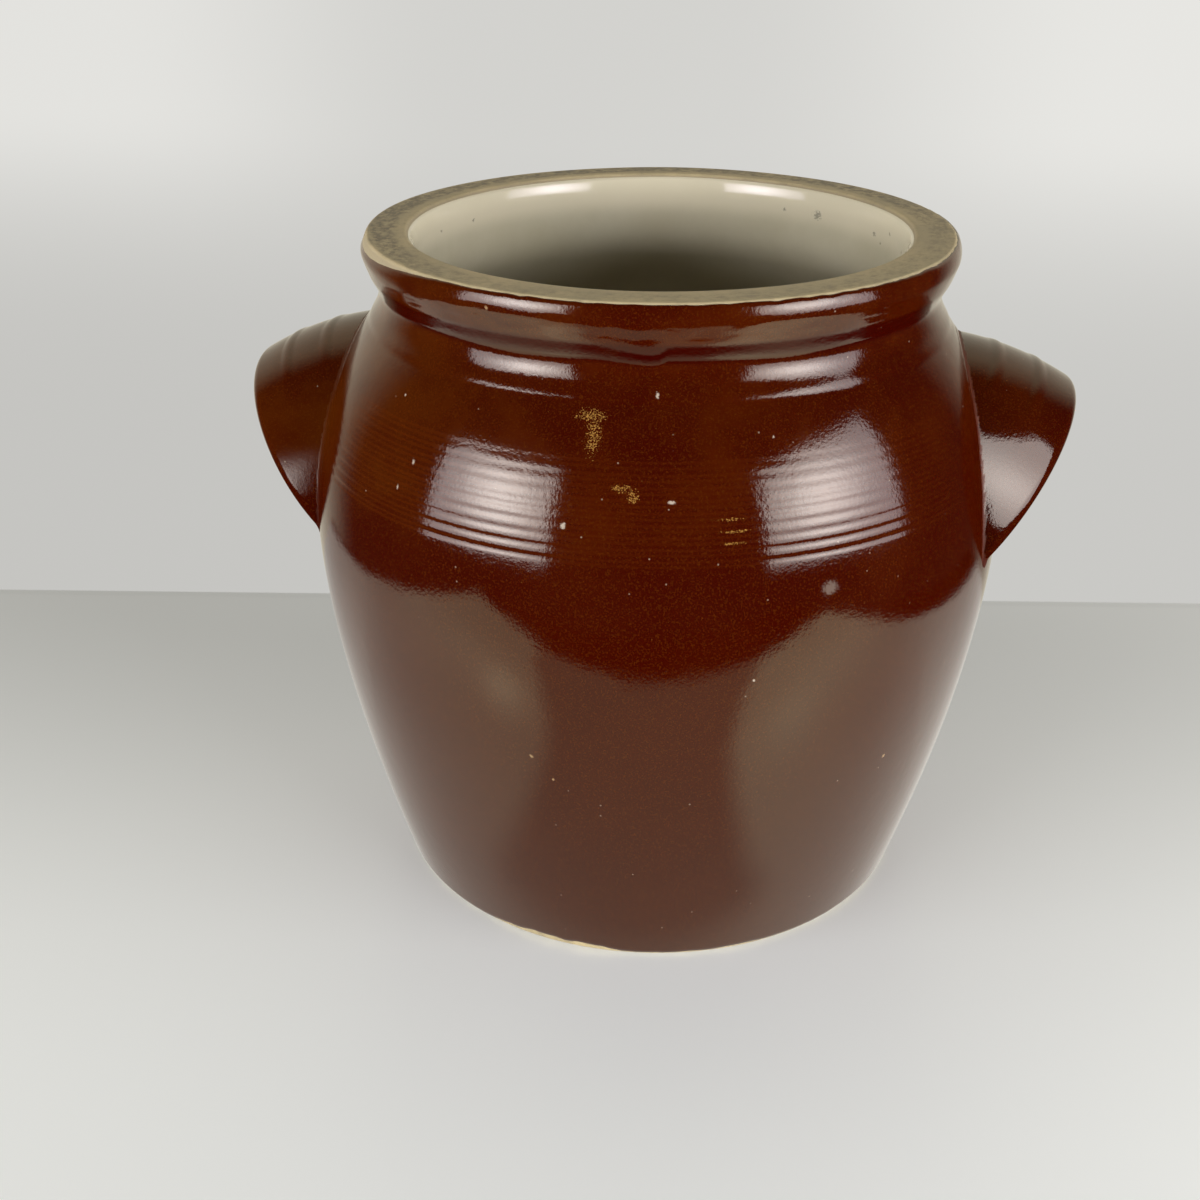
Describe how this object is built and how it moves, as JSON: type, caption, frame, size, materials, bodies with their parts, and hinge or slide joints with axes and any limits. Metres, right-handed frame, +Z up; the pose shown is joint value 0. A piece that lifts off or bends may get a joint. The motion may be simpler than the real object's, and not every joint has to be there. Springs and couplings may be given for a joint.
{
  "type": "confit pot",
  "caption": "Thrown stoneware confit pot with a swelling body, flat bare rim, brown outer glaze, pale liner glaze and ear handles, for keeping meat in fat.",
  "frame": {"origin": "middle of the flat base, on the surface that the pot stands on", "axes": "+Z up along the turning axis, +X towards the right handle, +Y towards the back"},
  "size_m": [0.3064, 0.2606, 0.25],
  "materials": {
    "bare_clay": "matt, dry fired stoneware clay, grey-tan with darker stains",
    "brown_glaze": "glossy red-brown glaze with fine orange peel, pinholes and ochre flecks",
    "pale_glaze": "glossy pale grey-cream glaze with a few dark specks"
  },
  "bodies": {
    "root": {"thrown_body": "bare_clay", "outer_glaze": "brown_glaze", "liner_glaze": "pale_glaze", "left_handle": "brown_glaze", "right_handle": "brown_glaze"}
  },
  "joints": []
}
